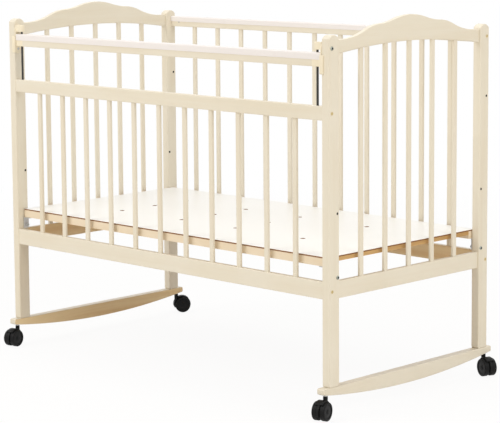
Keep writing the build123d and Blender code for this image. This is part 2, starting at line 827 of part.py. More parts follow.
caster_half = wheel_spacing / 2 + wheel_width / 2
fender_inner = wheel_radius + fender_gap
fender_outer = fender_inner + fender_wall
for corner, (sx, sy, turn) in corners.items():
    stem_place = (middle_x + sx * post_x, sy * caster_y, 0)
    trail_dir = (cos(radians(turn)), sin(radians(turn)), 0)
    axle_dir = (sin(radians(turn)), -cos(radians(turn)), 0)
    upright = Plane(origin=stem_place, x_dir=trail_dir, z_dir=axle_dir)
    flat = Plane(origin=stem_place, x_dir=trail_dir, z_dir=(0, 0, 1))
    with BuildPart() as hood:
        with BuildSketch(upright):
            with BuildLine():
                points = []
                for radius in [fender_outer, fender_inner]:
                    for angle in [fender_from, (fender_from + fender_to) / 2, fender_to]:
                        away = radians(angle)
                        points.append((trail + radius * cos(away), wheel_radius + radius * sin(away)))
                ThreePointArc(points[0], points[1], points[2])
                Line(points[2], points[5])
                ThreePointArc(points[5], points[4], points[3])
                Line(points[3], points[0])
            make_face()
        extrude(amount=caster_half, both=True)
        with BuildSketch(flat.offset(wheel_radius)):
            Circle(neck_radius)
        extrude(amount=neck_top - wheel_radius)
        with BuildSketch(upright):
            with Locations((trail, wheel_radius)):
                Circle(fender_inner)
        extrude(amount=caster_half, both=True, mode=Mode.SUBTRACT)
        fillet(hood.edges().group_by(Axis.Z)[-1], neck_edge)
        with BuildSketch(upright):
            with Locations((trail, wheel_radius)):
                Circle(fender_inner + fender_wall / 2)
            with Locations((trail, web_low - fender_outer)):
                Rectangle(4 * fender_outer, 2 * fender_outer, mode=Mode.SUBTRACT)
            with Locations((trail, wheel_radius)):
                Rectangle(2 * axle_radius, 2 * axle_radius)
        extrude(amount=web_half, both=True)
        with BuildSketch(upright):
            with Locations((trail, wheel_radius)):
                Circle(axle_radius + running_play)
        extrude(amount=caster_half, both=True, mode=Mode.SUBTRACT)
        with BuildSketch(flat.offset(stem_low - side_play)):
            Circle(stem_radius + running_play)
        extrude(amount=neck_top - stem_low + side_play, mode=Mode.SUBTRACT)
    save(hood, f"caster_hood_{corner}")

    with BuildPart() as axle:
        with BuildSketch(upright):
            with Locations((trail, wheel_radius)):
                Circle(axle_radius)
        extrude(amount=caster_half + axle_proud, both=True)
    save(axle, f"caster_axle_{corner}")

    with BuildPart() as wheels:
        for hand in [-1, 1]:
            inner_face = upright.offset(hand * (wheel_spacing - wheel_width) / 2)
            with BuildSketch(inner_face):
                with Locations((trail, wheel_radius)):
                    Circle(wheel_radius)
            extrude(amount=hand * wheel_width)
        rims = wheels.edges().filter_by(GeomType.CIRCLE)
        fillet(rims, wheel_edge)
        for hand in [-1, 1]:
            with BuildSketch(upright.offset(hand * caster_half)):
                with Locations((trail, wheel_radius)):
                    Circle(wheel_dish_radius)
                    Circle(2 * axle_radius, mode=Mode.SUBTRACT)
            extrude(amount=-hand * wheel_dish_depth, mode=Mode.SUBTRACT)
        with BuildSketch(upright):
            with Locations((trail, wheel_radius)):
                Circle(axle_radius)
        extrude(amount=caster_half + axle_proud, both=True, mode=Mode.SUBTRACT)
    save(wheels, f"caster_wheels_{corner}")
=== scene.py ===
"""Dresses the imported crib: finishes on its solids, modelled trim, studio and camera."""

import json
import logging
import math
from dataclasses import dataclass
from enum import Enum
from typing import Any, Union

import bmesh
import bpy
from mathutils import Matrix, Vector

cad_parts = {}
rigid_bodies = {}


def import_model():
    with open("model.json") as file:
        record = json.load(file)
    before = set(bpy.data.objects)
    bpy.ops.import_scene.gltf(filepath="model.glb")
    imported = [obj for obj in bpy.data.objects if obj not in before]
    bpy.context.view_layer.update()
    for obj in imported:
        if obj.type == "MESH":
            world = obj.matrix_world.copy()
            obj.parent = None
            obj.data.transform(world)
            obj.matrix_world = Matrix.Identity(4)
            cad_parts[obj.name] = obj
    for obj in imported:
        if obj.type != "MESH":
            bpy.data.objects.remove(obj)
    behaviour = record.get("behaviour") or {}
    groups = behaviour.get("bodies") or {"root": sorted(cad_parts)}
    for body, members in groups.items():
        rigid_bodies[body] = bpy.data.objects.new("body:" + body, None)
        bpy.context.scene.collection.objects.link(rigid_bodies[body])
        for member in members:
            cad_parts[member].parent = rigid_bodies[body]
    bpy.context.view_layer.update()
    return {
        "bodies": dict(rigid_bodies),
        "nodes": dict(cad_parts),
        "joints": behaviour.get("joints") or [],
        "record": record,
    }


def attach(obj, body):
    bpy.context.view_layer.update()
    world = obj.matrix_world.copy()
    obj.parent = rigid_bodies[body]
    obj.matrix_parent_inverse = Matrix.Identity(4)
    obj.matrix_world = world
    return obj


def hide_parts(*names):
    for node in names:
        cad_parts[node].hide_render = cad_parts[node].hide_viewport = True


LOG = logging.getLogger("crib")
MIDDLE_X = -0.014
SIDES = (("left", -1), ("right", 1))
WHITE = (1.0, 1.0, 1.0)
HAIR = 0.00001
Triple = tuple[float, float, float]
Value = Union["Wire", float, tuple[float, ...]]


class Grain(Enum):
    """The axis that a wooden piece's grain runs along."""

    X = 0
    Y = 1
    Z = 2


class Corner(Enum):
    """A caster's place: sign of X, sign of Y, and the direction in degrees in which it trails."""

    FRONT_LEFT = (-1, -1, 282.0)
    FRONT_RIGHT = (1, -1, 285.0)
    BACK_LEFT = (-1, 1, 55.0)
    BACK_RIGHT = (1, 1, 338.0)


class Wire:
    """An output socket that Python's operators turn into Math nodes."""

    def __init__(self, graph: "Graph", socket: bpy.types.NodeSocket) -> None:
        """Wraps a socket.

        Args:
            graph: The graph that the socket is in.
            socket: The output socket.
        """
        self.graph = graph
        self.socket = socket

    def _math(self, operation: str, first: Value, second: Value) -> "Wire":
        """Adds a Math node on two values and returns its output."""
        node = self.graph.node("ShaderNodeMath", {"operation": operation}, {0: first, 1: second})
        return Wire(self.graph, node.outputs[0])

    def __add__(self, other: Value) -> "Wire":
        """Sum of the two values."""
        return self._math("ADD", self, other)

    __radd__ = __add__

    def __sub__(self, other: Value) -> "Wire":
        """Difference of the two values."""
        return self._math("SUBTRACT", self, other)

    def __rsub__(self, other: Value) -> "Wire":
        """Difference with the number first."""
        return self._math("SUBTRACT", other, self)

    def __mul__(self, other: Value) -> "Wire":
        """Product of the two values."""
        return self._math("MULTIPLY", self, other)

    def __gt__(self, other: Value) -> "Wire":
        """1 where this value is the larger, else 0."""
        return self._math("GREATER_THAN", self, other)

    def spread(self, low: float, high: float) -> "Wire":
        """Stretches the range low to high onto 0 to 1 and clips what lies outside.

        Args:
            low: Value that becomes 0.
            high: Value that becomes 1.

        Returns:
            The stretched value.
        """
        inputs = {"Value": self, "From Min": low, "From Max": high}
        node = self.graph.node("ShaderNodeMapRange", {"clamp": True}, inputs)
        return Wire(self.graph, node.outputs["Result"])


@dataclass(frozen=True)
class Veil:
    """Where a noise begins to show, where it shows in full, and how strongly it shows there."""

    low: float
    high: float
    share: float = 1.0

    def over(self, noise: Wire) -> Wire:
        """The noise as a mask.

        Args:
            noise: Noise from 0 to 1.

        Returns:
            The mask, from 0 to the veil's share.
        """
        return noise.spread(self.low, self.high) * self.share


class Graph:
    """A node tree, with short ways to fill it."""

    def __init__(self, tree: bpy.types.NodeTree) -> None:
        """Empties a node tree.

        Args:
            tree: The tree.
        """
        self.tree = tree
        self.tree.nodes.clear()

    def node(
        self, kind: str, settings: dict[str, Any] | None = None, inputs: dict[Any, Value] | None = None
    ) -> bpy.types.Node:
        """Adds a node, sets it up and fills its inputs.

        Args:
            kind: The node's type.
            settings: Its properties, set first.
            inputs: Numbers, tuples or wires for its inputs, by name or number.

        Returns:
            The node.
        """
        node = self.tree.nodes.new(kind)
        for key, value in (settings or {}).items():
            setattr(node, key, value)
        for key, value in (inputs or {}).items():
            self.feed(node.inputs[key], value)
        return node

    def feed(self, socket: bpy.types.NodeSocket, value: Value) -> None:
        """Links a wire to an input, or sets a number or colour on it.

        Args:
            socket: The input.
            value: What it gets.
        """
        if isinstance(value, Wire):
            self.tree.links.new(value.socket, socket)
        elif isinstance(value, tuple) and len(value) == 3 and socket.type == "RGBA":
            socket.default_value = (*value, 1.0)
        else:
            socket.default_value = value

    def seen(self) -> Wire:
        """1 for what the camera sees straight, in a reflection or through glass, else 0."""
        path = self.node("ShaderNodeLightPath")
        camera, glossy, glass = (
            Wire(self, path.outputs[f"Is {kind} Ray"]) for kind in ("Camera", "Glossy", "Transmission")
        )
        return (camera + glossy + glass).spread(0.0, 1.0)


class Shader(Graph):
    """The node tree of one material, ending in one Principled BSDF."""

    def __init__(self, name: str) -> None:
        """Makes an empty material with its surface shader.

        Args:
            name: The material's name.
        """
        self.material = bpy.data.materials.new(name)
        self.material.use_nodes = True
        super().__init__(self.material.node_tree)
        self.surface = self.tree.nodes.new("ShaderNodeBsdfPrincipled")
        self.output = self.tree.nodes.new("ShaderNodeOutputMaterial")
        self.tree.links.new(self.surface.outputs[0], self.output.inputs["Surface"])

    def place(self, stretch: Triple = (1.0, 1.0, 1.0)) -> Wire:
        """Object coordinates, stretched along the axes.

        Args:
            stretch: Factor along each axis.

        Returns:
            The coordinates.
        """
        coordinates = self.node("ShaderNodeTexCoord")
        start = Wire(self, coordinates.outputs["Object"])
        mapping = self.node("ShaderNodeMapping", {}, {"Vector": start, "Scale": stretch})
        return Wire(self, mapping.outputs["Vector"])

    def along(self, grain: Grain, stretch: float) -> Wire:
        """Object coordinates, stretched along a wooden piece's grain.

        Args:
            grain: The grain's axis.
            stretch: Factor along it.

        Returns:
            The coordinates.
        """
        factors = [1.0, 1.0, 1.0]
        factors[grain.value] = stretch
        return self.place(tuple(factors))

    def facing(self, axis: str) -> Wire:
        """How far the surface's normal points along an axis, from -1 to 1.

        Args:
            axis: X, Y or Z.

        Returns:
            The normal's part along the axis.
        """
        coordinates = self.node("ShaderNodeTexCoord")
        split = self.node("ShaderNodeSeparateXYZ", {}, {0: Wire(self, coordinates.outputs["Normal"])})
        return Wire(self, split.outputs[axis])

    def noise(self, place: Wire, scale: float, detail: float = 3.0, rough: float = 0.55) -> Wire:
        """Noise from 0 to 1.

        Args:
            place: Coordinates that it is read at.
            scale: Cells a metre.
            detail: Octaves.
            rough: Strength of the finer octaves.

        Returns:
            The noise.
        """
        inputs = {"Vector": place, "Scale": scale, "Detail": detail, "Roughness": rough}
        node = self.node("ShaderNodeTexNoise", {"noise_dimensions": "3D"}, inputs)
        return Wire(self, node.outputs[0])

    def blend(self, factor: Value, first: Value, second: Value) -> Wire:
        """Mixes two colours.

        Args:
            factor: Share of the second colour.
            first: Colour or wire.
            second: Colour or wire.

        Returns:
            The mixed colour.
        """
        node = self.node("ShaderNodeMix", {"data_type": "RGBA"}, {0: factor})
        self.feed(node.inputs[6], first)
        self.feed(node.inputs[7], second)
        return Wire(self, node.outputs[2])

    def bump(self, height: Wire, distance: float, strength: float = 1.0) -> Wire:
        """Turns a height into a normal.

        Args:
            height: Height from 0 to 1.
            distance: Depth of the relief in metres.
            strength: Share of the relief that shows.

        Returns:
            The normal.
        """
        inputs = {"Height": height, "Distance": distance, "Strength": strength}
        node = self.node("ShaderNodeBump", {}, inputs)
        return Wire(self, node.outputs["Normal"])

    def finish(self, **sockets: Value) -> bpy.types.Material:
        """Fills the surface shader's inputs, named with underscores for spaces.

        Args:
            **sockets: Values or wires.

        Returns:
            The material.
        """
        for key, value in sockets.items():
            self.feed(self.surface.inputs[key.replace("_", " ").title().replace("Ior", "IOR")], value)
        return self.material


@dataclass(frozen=True)
class LacqueredWood:
    """Pale wood under an ivory satin lacquer that lets a little of the grain through.

    Faces that point to the bed's middle get a painted shade, a golden tone with streaks, where inward gives
    their sign along an axis.
    """

    grain: Grain
    inward: int = 0
    axis: str = "X"
    name: str = "lacquered_wood"
    body: Triple = (0.800, 0.735, 0.605)
    streak: Triple = (0.735, 0.635, 0.470)
    # Golden colours of the painted shade on faces that point to the bed's middle.
    pale: Triple = (0.845, 0.800, 0.700)
    painted_shade: Triple = (0.890, 0.690, 0.390)
    painted_shade_streak: Triple = (0.740, 0.480, 0.190)
    stretch: float = 0.045
    fibre_cells: float = 260.0
    band_cells: float = 46.0
    cloud_cells: float = 5.0
    fibre_veil: Veil = Veil(0.56, 0.80, 0.22)
    band_veil: Veil = Veil(0.42, 0.74, 0.42)
    cloud_veil: Veil = Veil(0.38, 0.72, 0.35)
    # Veils of the painted shade: its streaks, and how far a face must point inward to take it.
    painted_shade_band_veil: Veil = Veil(0.40, 0.68, 0.8)
    painted_shade_veil: Veil = Veil(0.5, 0.9, 0.92)
    fibre_relief: float = 0.6
    rough: float = 0.34
    rough_cloud: float = 0.16
    coat: float = 0.18
    coat_rough: float = 0.28
    relief: float = 0.00012
    relief_share: float = 0.55

    def material(self) -> bpy.types.Material:
        """Builds the material with its grain along the given axis."""
        side = {-1: "_down", 0: "", 1: "_up"}[self.inward]
        shader = Shader(f"{self.name}_{self.grain.name.lower()}{side}")
        place = shader.along(self.grain, self.stretch)
        fibres = shader.noise(place, self.fibre_cells, detail=4.0, rough=0.6)
        bands = shader.noise(place, self.band_cells, detail=2.0, rough=0.5)
        cloud = shader.noise(shader.place(), self.cloud_cells, detail=2.0, rough=0.5)
        tone = shader.blend(self.band_veil.over(bands), self.body, self.streak)
        tone = shader.blend(self.cloud_veil.over(cloud), tone, self.pale)
        tone = shader.blend(self.fibre_veil.over(fibres), tone, self.streak)
        # Painted shade: faces that point to the bed's middle take a golden tone with streaks.
        if self.inward:
            shaded = shader.blend(self.painted_shade_band_veil.over(bands), self.painted_shade, self.painted_shade_streak)
            tone = shader.blend(self.painted_shade_veil.over(shader.facing(self.axis) * self.inward), tone, shaded)
        brushed = fibres * self.fibre_relief + bands * (1.0 - self.fibre_relief)
        return shader.finish(
            base_color=tone,
            roughness=self.rough + cloud * self.rough_cloud,
            coat_weight=self.coat,
            coat_roughness=self.coat_rough,
            normal=shader.bump(brushed, self.relief, self.relief_share),
        )


@dataclass(frozen=True)
class PlanedWood:
    """Plain planed wood under the base, golden, with open grain."""

    grain: Grain
    body: Triple = (0.640, 0.400, 0.165)
    streak: Triple = (0.420, 0.225, 0.070)
    stretch: float = 0.05
    ring_cells: float = 55.0
    fibre_cells: float = 420.0
    ring_veil: Veil = Veil(0.38, 0.70, 0.7)
    fibre_veil: Veil = Veil(0.55, 0.80, 0.35)
    rough: float = 0.55
    rough_fibres: float = 0.2
    relief: float = 0.0002
    relief_share: float = 0.6

    def material(self) -> bpy.types.Material:
        """Builds the material with its grain along the given axis."""
        shader = Shader(f"planed_wood_{self.grain.name.lower()}")
        place = shader.along(self.grain, self.stretch)
        rings = shader.noise(place, self.ring_cells)
        fibres = shader.noise(place, self.fibre_cells, detail=4.0, rough=0.6)
        tone = shader.blend(self.ring_veil.over(rings), self.body, self.streak)
        tone = shader.blend(self.fibre_veil.over(fibres), tone, self.streak)
        return shader.finish(
            base_color=tone,
            roughness=self.rough + fibres * self.rough_fibres,
            normal=shader.bump(fibres, self.relief, self.relief_share),
        )


@dataclass(frozen=True)
class FacedBoard:
    """Hardboard with a white face; its edges and underside are raw brown fibre."""

    face: Triple = (0.930, 0.925, 0.905)
    shade: Triple = (0.890, 0.880, 0.850)
    fibre: Triple = (0.300, 0.130, 0.036)
    dark: Triple = (0.180, 0.072, 0.020)
    fine_cells: float = 900.0
    cloud_cells: float = 3.0
    fine_veil: Veil = Veil(0.35, 0.7)
    cloud_veil: Veil = Veil(0.35, 0.75, 0.5)
    upward: float = 0.5
    rough: float = 0.75
    smoother_face: float = 0.42
    rough_fibres: float = 0.08
    relief: float = 0.00015
    relief_share: float = 0.35

    def material(self) -> bpy.types.Material:
        """Builds the material; what points up is white."""
        shader = Shader("faced_board")
        fine = shader.noise(shader.place(), self.fine_cells, detail=3.0, rough=0.6)
        cloud = shader.noise(shader.place(), self.cloud_cells, detail=2.0, rough=0.5)
        raw = shader.blend(self.fine_veil.over(fine), self.fibre, self.dark)
        white = shader.blend(self.cloud_veil.over(cloud), self.face, self.shade)
        top = shader.facing("Z") > self.upward
        return shader.finish(
            base_color=shader.blend(top, raw, white),
            roughness=self.rough - top * self.smoother_face + fine * self.rough_fibres,
            normal=shader.bump(fine, self.relief, self.relief_share),
        )


@dataclass(frozen=True)
class Plastic:
    """Moulded plastic with a fine grained skin."""

    name: str
    body: Triple
    scuff: Triple
    rough: float = 0.4
    grain: float = 1400.0
    relief: float = 0.00005
    coat: float = 0.0
    gloss: float = 0.5
    wear_cells: float = 38.0
    wear_veil: Veil = Veil(0.56, 0.78)
    scuff_share: float = 0.55
    rough_marks: float = 0.12
    rough_skin: float = 0.05
    coat_rough: float = 0.15
    relief_share: float = 0.5

    def material(self) -> bpy.types.Material:
        """Builds the material with faint scuffs and a moulded skin."""
        shader = Shader(self.name)
        skin = shader.noise(shader.place(), self.grain, detail=2.0, rough=0.5)
        wear = shader.noise(shader.place(), self.wear_cells, detail=4.0, rough=0.62)
        marks = self.wear_veil.over(wear)
        return shader.finish(
            base_color=shader.blend(marks * self.scuff_share, self.body, self.scuff),
            roughness=self.rough + marks * self.rough_marks + skin * self.rough_skin,
            specular_ior_level=self.gloss,
            coat_weight=self.coat,
            coat_roughness=self.coat_rough,
            normal=shader.bump(skin, self.relief, self.relief_share),
        )


@dataclass(frozen=True)
class Steel:
    """Plated or coated steel with fine draw marks."""

    name: str
    body: Triple
    dull: Triple
    metallic: float = 1.0
    rough: float = 0.3
    stretch: float = 0.1
    mark_cells: float = 1600.0
    patch_cells: float = 120.0
    patch_veil: Veil = Veil(0.4, 0.75, 0.6)
    rough_marks: float = 0.14
    relief: float = 0.00002
    relief_share: float = 0.5

    def material(self) -> bpy.types.Material:
        """Builds the material with draw marks along Z and dull patches."""
        shader = Shader(self.name)
        marks = shader.noise(shader.along(Grain.Z, self.stretch), self.mark_cells, detail=3.0, rough=0.6)
        patch = shader.noise(shader.place(), self.patch_cells)
        return shader.finish(
            base_color=shader.blend(self.patch_veil.over(patch), self.body, self.dull),
            metallic=self.metallic,
            roughness=self.rough + marks * self.rough_marks,
            normal=shader.bump(marks, self.relief, self.relief_share),
        )


@dataclass(frozen=True)
class Backdrop:
    """White floor that still shows the object's soft shadow."""

    tone: Triple = (0.92, 0.89, 0.83)
    glow: float = 0.93
    near: float = 1.3
    far: float = 3.6
    rough: float = 0.9

    def material(self) -> bpy.types.Material:
        """Builds the floor: for the camera and in reflections it glows white under its shadow."""
        shader = Shader("studio_floor")
        light = shader.node("ShaderNodeEmission", {}, {"Color": WHITE, "Strength": 1.0})
        reach = shader.node("ShaderNodeVectorMath", {"operation": "LENGTH"}, {0: shader.place()})
        away = Wire(shader, reach.outputs["Value"]).spread(self.near, self.far)
        share = shader.seen() * (away * (1.0 - self.glow) + self.glow)
        lit, bright = Wire(shader, shader.surface.outputs[0]), Wire(shader, light.outputs[0])
        mix = shader.node("ShaderNodeMixShader", {}, {0: share, 1: lit, 2: bright})
        shader.feed(shader.output.inputs["Surface"], Wire(shader, mix.outputs[0]))
        return shader.finish(base_color=self.tone, roughness=self.rough)


class Dresser:
    """Puts finishes on CAD nodes and on new pieces."""

    def __init__(self, frame: dict[str, Any]) -> None:
        """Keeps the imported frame.
        """
        self.nodes = frame["nodes"]
        self.made: dict[Any, bpy.types.Material] = {}

    def material(self, finish: Any) -> bpy.types.Material:
        """The material of a finish, built once."""
        if finish not in self.made:
            self.made[finish] = finish.material()
        return self.made[finish]

    def dress(self, finish: Any, *names: str) -> None:
        """Gives CAD nodes a finish.

        Args:
            finish: The finish.
            *names: Node names.
        """
        for name in names:
            materials = self.nodes[name].data.materials
            materials.clear()
            materials.append(self.material(finish))
            LOG.info("%s dressed in %s", name, self.material(finish).name)

    def put(
        self, model: bpy.types.Object, name: str, place: Matrix, body: str, slot: str, *finishes: Any
    ) -> bpy.types.Object:
        """Puts a copy of a model, with its own mesh, at a place on a body.

        Args:
            model: The model to copy.
            name: The copy's name.
            place: Where it goes and how it is turned.
            body: The body that it rides on.
            slot: The record's material slot; not used.
            *finishes: Finishes for its material numbers 0 and up.

        Returns:
            The copy.
        """
        mesh = model.data.copy()
        mesh.transform(place)
        for finish in finishes:
            mesh.materials.append(self.material(finish))
        piece = bpy.data.objects.new(name, mesh)
        bpy.context.scene.collection.objects.link(piece)
        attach(piece, body)
        LOG.info("%s placed on %s", name, body)
        return piece


class Bench:
    """Modelling moves that the pieces share."""

    @staticmethod
    def start() -> None:
        """Leaves edit mode and deselects everything."""
        if bpy.context.object and bpy.context.object.mode != "OBJECT":
            bpy.ops.object.mode_set(mode="OBJECT")
        bpy.ops.object.select_all(action="DESELECT")

    @staticmethod
    def cylinder(
        radius: float, depth: float, middle: Triple, sides: int = 48, turn: Triple = (0.0, 0.0, 0.0)
    ) -> bpy.types.Object:
        """Models a cylinder along Z, or turned from it, with its place in its mesh.

        Args:
            radius: Its radius.
            depth: Its length.
            middle: Place of its middle.
            sides: Its number of sides.
            turn: Turn about X, Y and Z in radians.

        Returns:
            The cylinder.
        """
        Bench.start()
        bpy.ops.mesh.primitive_cylinder_add(
            vertices=sides, radius=radius, depth=depth, location=middle, rotation=turn
        )
        bpy.ops.object.transform_apply(location=True, rotation=True)
        return bpy.context.object

    @staticmethod
    def block(low: Triple, high: Triple) -> bpy.types.Object:
        """Models a block between two corners, with its place in its mesh.

        Args:
            low: Its lowest corner.
            high: Its highest corner.

        Returns:
            The block.
        """
        Bench.start()
        middle = tuple((a + b) / 2 for a, b in zip(low, high))
        size = tuple(b - a for a, b in zip(low, high))
        bpy.ops.mesh.primitive_cube_add(size=1.0, location=middle, scale=size)
        bpy.ops.object.transform_apply(location=True, rotation=True, scale=True)
        return bpy.context.object

    @staticmethod
    def smooth(thing: bpy.types.Object, angle: float) -> bpy.types.Object:
        """Shades an object smooth, apart from its edges that are sharper than an angle.

        Args:
            thing: The object.
            angle: The angle in degrees.

        Returns:
            The object.
        """
        Bench.start()
        thing.select_set(True)
        bpy.context.view_layer.objects.active = thing
        bpy.ops.object.shade_smooth_by_angle(angle=math.radians(angle))
        return thing

    @staticmethod
    def pick(thing: bpy.types.Object, wanted: Any) -> None:
        """Selects the faces of an object in edit mode that a test picks.

        Args:
            thing: The object.
            wanted: Test on a face.
        """
        bpy.ops.mesh.select_mode(type="FACE")
        bpy.ops.mesh.select_all(action="DESELECT")
        mesh = bmesh.from_edit_mesh(thing.data)
        for face in mesh.faces:
            if wanted(face):
                face.select_set(True)
        bmesh.update_edit_mesh(thing.data)

    @staticmethod
    def pick_points(thing: bpy.types.Object, wanted: Any) -> None:
        """Selects the vertices of an object in edit mode that a test picks.

        Args:
            thing: The object.
            wanted: Test on a vertex's place.
        """
        bpy.ops.mesh.select_mode(type="VERT")
        bpy.ops.mesh.select_all(action="DESELECT")
        mesh = bmesh.from_edit_mesh(thing.data)
        for point in mesh.verts:
            if wanted(point.co):
                point.select_set(True)
        bmesh.update_edit_mesh(thing.data)

    @staticmethod
    def soften(thing: bpy.types.Object, width: float, segments: int, angle: float = 35.0) -> None:
        """Rounds an object's sharp edges with a bevel that is applied.

        Args:
            thing: The object.
            width: The bevel's width in metres.
            segments: Its steps.
            angle: Edges sharper than this many degrees are rounded.
        """
        bevel = thing.modifiers.new("edges", "BEVEL")
        bevel.width = width
        bevel.segments = segments
        bevel.limit_method = "ANGLE"
        bevel.angle_limit = math.radians(angle)
        bpy.context.view_layer.objects.active = thing
        bpy.ops.object.modifier_apply(modifier=bevel.name)

    @staticmethod
    def combine(thing: bpy.types.Object, other: bpy.types.Object, operation: str) -> None:
        """Joins another object to a thing or cuts it out, and removes the other.

        Args:
            thing: The object that stays.
            other: The one that is used up.
            operation: UNION or DIFFERENCE.
        """
        step = thing.modifiers.new("combine", "BOOLEAN")
        step.operation = operation
        step.solver = "EXACT"
        step.object = other
        bpy.context.view_layer.objects.active = thing
        bpy.ops.object.modifier_apply(modifier=step.name)
        bpy.data.objects.remove(other)

    @staticmethod
    def outwards(sign: int, y: float, z: float, x: float, flip: int = 1) -> Matrix:
        """Place of a model that faces +Z on a face that points along X, away from the bed's middle.

        Args:
            sign: -1 for the left end, 1 for the right.
            y: Depth in metres.
            z: Height in metres.
            x: Distance of the face from the bed's middle.
            flip: -1 turns the model towards the bed's middle.

        Returns:
            The place.
        """
        turn = Vector((sign * flip, 0.0, 0.0)).to_track_quat("Z", "Y").to_matrix().to_4x4()
        return Matrix.Translation((MIDDLE_X + sign * x, y, z)) @ turn


@dataclass
class FrameEnds:
    """Posts, arched rails, bottom rails, slats and runners of the two ends."""

    upright: LacqueredWood = LacqueredWood(Grain.Z)
    level: LacqueredWood = LacqueredWood(Grain.Y)

    def build(self, dresser: Dresser) -> None:
        """Dresses both ends.

        Args:
            dresser: Puts the finishes on.
        """
        for side, sign in SIDES:
            dresser.dress(self.upright, f"post_front_{side}", f"post_back_{side}", f"end_slats_{side}")
            dresser.dress(self.level, f"arch_rail_{side}")
            # Faces of the bottom rail and runner that point to the bed's middle get painted shade.
            dresser.dress(LacqueredWood(Grain.Y, inward=-sign), f"end_bottom_rail_{side}", f"runner_{side}")


@dataclass
class LongSides:
    """Fixed rails and slats of the front and the back, and the cover on the back."""

    upright: LacqueredWood = LacqueredWood(Grain.Z)
    level: LacqueredWood = LacqueredWood(Grain.X)
    cover: Plastic = Plastic(
        "cover_plastic", (0.860, 0.815, 0.800), (0.820, 0.765, 0.745), 0.28, 900.0, 0.00002, coat=0.30
    )

    def build(self, dresser: Dresser) -> None:
        """Dresses both long sides.

        Args:
            dresser: Puts the finishes on.
        """
        dresser.dress(self.upright, "front_slats", "back_slats")
        dresser.dress(self.level, "front_middle_rail", "front_bottom_rail", "back_top_rail")
        # Faces of the back bottom rail that point to the front get painted shade.
        dresser.dress(LacqueredWood(Grain.X, inward=-1, axis="Y"), "back_bottom_rail")
        dresser.dress(self.cover, "back_top_rail_cover")


@dataclass
class DropSide:
    """The bar that slides, its cover and guides, and the rods and brackets that lead it."""

    wood: LacqueredWood = LacqueredWood(Grain.X)
    cover: Plastic = LongSides.cover
    cream: Plastic = Plastic(
        "bracket_plastic", (0.880, 0.790, 0.610), (0.840, 0.720, 0.500), 0.38, 1200.0, 0.00004
    )
    rods: Steel = Steel("black_coated_steel", (0.020, 0.019, 0.018), (0.045, 0.042, 0.040), 0.0, 0.34)
    inner_face: float = 0.59515
    post_face: float = 0.600
    post_front: float = -0.318
    rail_y: float = -0.308
    rod_x: float = 0.578
    plate_radius: float = 0.014
    plate_top: float = 0.941
    plate_low: float = 0.860
    plate_edge: float = 0.0012
    foot_share: float = 0.72
    flange_thick: float = 0.0036
    flange_end: float = 0.607
    flange_low: float = 0.862
    flange_top: float = 0.909
    flange_lap: float = 0.004
    flange_edge: float = 0.0016
    cut_margin: float = 0.02
    lug_radius: float = 0.0078
    lug_low: float = 0.922
    lug_top: float = 0.9408
    lug_edge: float = 0.0026

    def build(self, dresser: Dresser) -> None:
        """Dresses the drop side and what guides it, and models the rod brackets.

        Args:
            dresser: Puts the finishes on.
        """
        dresser.dress(self.wood, "drop_rail")
        dresser.dress(self.cover, "drop_rail_cover")
        bracket = self.model_bracket()
        for side, sign in SIDES:
            dresser.dress(self.cream, f"drop_guide_{side}")
            dresser.dress(self.rods, f"guide_rod_{side}")
            place = Matrix.Translation((MIDDLE_X, 0.0, 0.0)) @ Matrix.Diagonal((sign, 1.0, 1.0, 1.0))
            copy = dresser.put(bracket, f"bracket_{side}", place, "frame", "cream_plastic", self.cream)
            if sign < 0:
                copy.data.flip_normals()
            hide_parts(f"rod_bracket_{side}")
        bpy.data.objects.remove(bracket)

    def model_bracket(self) -> bpy.types.Object:
        """Models the right bracket: a drop-shaped plate, a flange round the post and a lug on the rod.

        Returns:
            The bracket, in its place from the bed's middle.
        """
        middle_y = self.post_front + self.plate_radius
        split = self.plate_top - self.plate_radius
        place = ((self.post_face + self.inner_face) / 2, middle_y, split)
        thick = self.post_face - self.inner_face
        plate = Bench.cylinder(self.plate_radius, thick, place, 64, (0.0, math.radians(90), 0.0))
        bpy.ops.object.mode_set(mode="EDIT")
        Bench.pick_points(plate, lambda point: point.z < split - HAIR)
        corner = (self.post_face, self.post_front, split)
        bpy.ops.transform.resize(value=(1, self.foot_share, self.foot_share), center_override=corner)
        foot_middle = self.plate_low + self.plate_radius * self.foot_share
        bpy.ops.transform.translate(value=(0, 0, foot_middle - split))
        bpy.ops.object.mode_set(mode="OBJECT")
        Bench.soften(plate, self.plate_edge, 3)
        Bench.combine(plate, self.model_flange(), "UNION")
        Bench.combine(plate, self.model_lug(), "UNION")
        return Bench.smooth(plate, angle=38.0)

    def model_flange(self) -> bpy.types.Object:
        """Models the flange on the post's front, without what would lie inside the post.

        Returns:
            The flange.
        """
        flange = Bench.block(
            (self.inner_face, self.post_front - self.flange_thick, self.flange_low),
            (self.flange_end, self.post_front + self.flange_lap, self.flange_top),
        )
        Bench.soften(flange, self.flange_edge, 3)
        margin = self.cut_margin
        post = Bench.block(
            (self.post_face, self.post_front, self.flange_low - margin),
            (self.flange_end + margin, self.post_front + margin, self.flange_top + margin),
        )
        Bench.combine(flange, post, "DIFFERENCE")
        return flange

    def model_lug(self) -> bpy.types.Object:
        """Models the lug: a boss over the rod's end with a rounded top, carried out from the plate.

        Returns:
            The lug.
        """
        height = self.lug_top - self.lug_low
        place = (self.rod_x, self.rail_y, (self.lug_top + self.lug_low) / 2)
        lug = Bench.cylinder(self.lug_radius, height, place)
        bpy.ops.object.mode_set(mode="EDIT")
        Bench.pick_points(lug, lambda point: point.x > self.rod_x + HAIR)
        inside = ((self.inner_face + self.post_face) / 2, self.rail_y, self.lug_low)
        bpy.ops.transform.resize(value=(0, 1, 1), center_override=inside)
        bpy.ops.object.mode_set(mode="OBJECT")
        Bench.soften(lug, self.lug_edge, 4, 50.0)
        return lug


